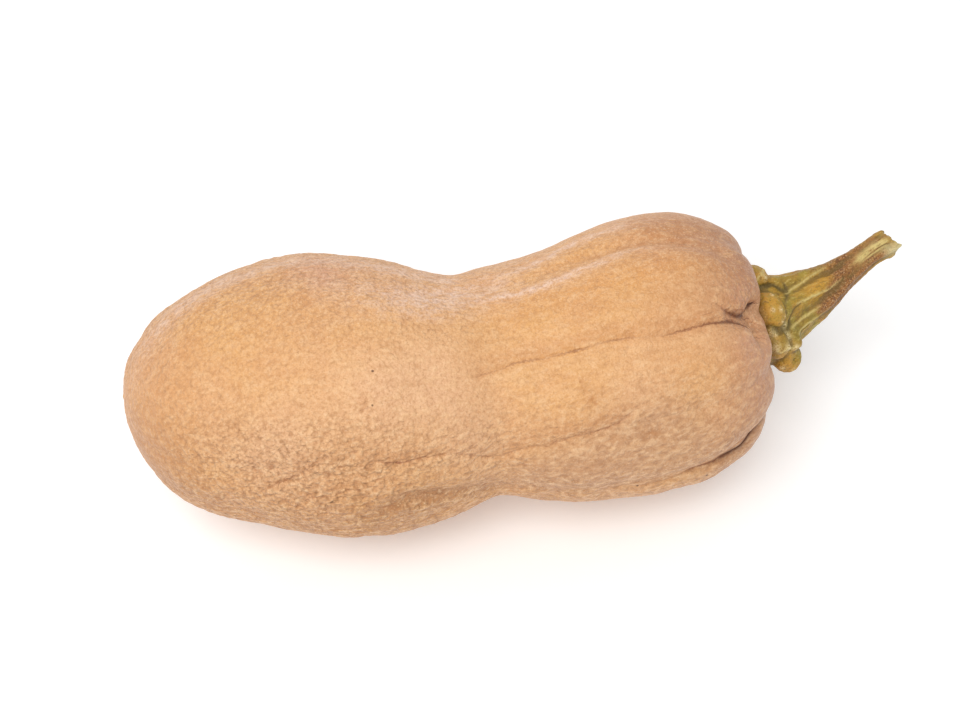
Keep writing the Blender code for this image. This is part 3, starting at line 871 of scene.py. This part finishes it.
# The bark: green to ochre with golden knobs, pale grain along the stalk and painted shade in its clefts.
bark = Finish("stem_wood")
place = bark.place()
straight_place = bark.attribute("straight", "Vector")
up_stem = bark.attribute("reach")
hollow = bark.attribute("hollow")
patch = bark.noise(place, 5.0, 3.0)
mottle = bark.noise(place, 1.3, 3.0, 0.6)
grain = bark.noise(bark.stretched(straight_place, 0.1, 1.0, 1.0), 0.9, 3.0, 0.6)
colour = bark.mix(bark.smooth(patch, 0.38, 0.62), seen_colour(170, 146, 48), seen_colour(196, 148, 46))
on_foot = bark.smooth(up_stem, FOOT_TOP, 9.0)
colour = bark.mix(on_foot * bark.smooth(hollow, 0.05, -0.25) * 0.8, colour, seen_colour(210, 150, 52))
colour = bark.mix(bark.attribute("golden") * 0.8, colour, seen_colour(214, 156, 46))
colour = bark.mix(bark.attribute("green") * 0.8, colour, seen_colour(146, 126, 44))
colour = bark.mix(bark.smooth(grain, 0.53, 0.68) * (1 - on_foot) * 0.55, colour, seen_colour(230, 204, 118))
colour = bark.mix(bark.smooth(grain, 0.47, 0.34) * (1 - on_foot) * 0.5, colour, seen_colour(140, 112, 44))
colour = bark.mix(bark.smooth(mottle, 0.5, 0.34) * on_foot * 0.6, colour, seen_colour(146, 106, 34))

# Dried, brown bark on the upper stalk, with an uneven edge, speckled dark and pale.
speckle = bark.noise(place, 0.55, 2.0, 0.6)
ragged = up_stem + patch * 14 + mottle * 12 - 13
dried = bark.smooth(ragged, 24.0, 34.0) * bark.smooth(up_stem, 56.0, 46.0)
dried = dried * 0.5 + bark.attribute("brown") + mottle * 0.5 - bark.attribute("golden") * 0.5 - 0.25
dried = bark.smooth(dried, 0.1, 0.9)
colour = bark.mix(dried * 0.85, colour, seen_colour(160, 98, 44))
colour = bark.mix(dried * bark.smooth(mottle, 0.5, 0.36) * 0.75, colour, seen_colour(108, 64, 28))
colour = bark.mix(dried * bark.smooth(speckle, 0.47, 0.36) * 0.7, colour, seen_colour(96, 56, 26))
colour = bark.mix(dried * bark.smooth(speckle, 0.56, 0.66) * 0.7, colour, seen_colour(226, 184, 134))
browned = bark.smooth(up_stem, 44.0, 50.0) * bark.smooth(patch, 0.62, 0.4)
colour = bark.mix(browned * 0.7, colour, seen_colour(178, 124, 58))

# Painted shade in clefts and furrows, pale ridges, warts and cut, and a painted shadow on the foot by the
# fruit.
colour = bark.mix(bark.smooth(hollow, 0.02, 0.28) * 0.7, colour, seen_colour(116, 92, 38))
colour = bark.mix(bark.attribute("furrow_painted_shade") * 0.7, colour, seen_colour(96, 82, 34))
pale_share = bark.attribute("pale") * bark.smooth(grain, 0.35, 0.55)
colour = bark.mix(pale_share * 0.9, colour, seen_colour(240, 216, 138))
cream_share = bark.attribute("cream") * bark.smooth(mottle, 0.3, 0.5)
colour = bark.mix(cream_share * 0.9, colour, seen_colour(226, 202, 126))
wart_share = bark.attribute("wart") * bark.smooth(speckle, 0.38, 0.52)
colour = bark.mix(wart_share * 0.85, colour, seen_colour(246, 226, 170))
colour = bark.mix(bark.attribute("end_face") * 0.85, colour, bark.mix(
    bark.smooth(grain, 0.4, 0.6), seen_colour(176, 146, 84), seen_colour(226, 206, 150)
))
colour = bark.mix(bark.attribute("flake") * 0.85, colour, seen_colour(236, 220, 160))
colour = bark.mix(bark.smooth(up_stem, 8.0, 3.5) * 0.75, colour, seen_colour(112, 76, 30))
# Painted highlight: pale sparkling specks on the foot.
colour = bark.mix(on_foot * bark.smooth(speckle, 0.6, 0.7) * 0.5, colour, seen_colour(226, 192, 112))
colour = bark.mix(bark.smooth(speckle, 0.42, 0.3) * 0.5, colour, seen_colour(116, 80, 30))
height = grain * (1 - on_foot) * 0.6 + mottle * 0.5 + speckle * 0.25
wood.data.materials.append(bark.shaded({
    "Base Color": colour,
    "Roughness": mottle * 0.3 + 0.35,
    "Normal": bark.bump(height),
}))

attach(wood, "root")
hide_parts("stem")

# The floor and the light: a near-white sheet, a wide soft lamp above on the left, and a low window behind.
# The pale surroundings fill the shadows, as in a light studio tent.
FLOOR_SIZE = 6.0
FLOOR_GLOW = 0.14
SURROUNDINGS = 0.62
LAMPS_AIM = Vector((0, 0, 0.05))
# Each lamp: its name, width, height, power in watts, tint and place.
LAMPS = (
    ("key", 0.7, 0.7, 8.4, (1.0, 1.0, 1.0), Vector((-0.34, -0.42, 1.15))),
    ("window", 1.6, 0.4, 2.4, (1.0, 0.94, 0.97), Vector((-0.2, 1.4, 0.42))),
)

bpy.ops.mesh.primitive_plane_add(size=FLOOR_SIZE)
floor = bpy.context.object
floor.name = "floor"
sheet = Finish("floor")
floor.data.materials.append(sheet.shaded({
    "Base Color": (0.95, 0.95, 0.95, 1.0),
    "Roughness": 0.9,
    "Emission Color": (1.0, 1.0, 1.0, 1.0),
    "Emission Strength": FLOOR_GLOW,
}))

surroundings = bpy.data.worlds.new("surroundings")
surroundings.use_nodes = True
backdrop = surroundings.node_tree.nodes["Background"]
backdrop.inputs["Color"].default_value = (1.0, 1.0, 1.0, 1.0)
backdrop.inputs["Strength"].default_value = SURROUNDINGS
bpy.context.scene.world = surroundings
bpy.context.scene.view_settings.view_transform = "Standard"

for name, width, height, power, tint, stand in LAMPS:
    lamp = bpy.data.objects.new(name, bpy.data.lights.new(name, "AREA"))
    lamp.data.shape = "RECTANGLE"
    lamp.data.size = width
    lamp.data.size_y = height
    lamp.data.energy = power
    lamp.data.color = tint
    lamp.location = stand
    lamp.rotation_euler = (LAMPS_AIM - stand).to_track_quat("-Z", "Y").to_euler()
    lamp.visible_camera = False
    bpy.context.scene.collection.objects.link(lamp)
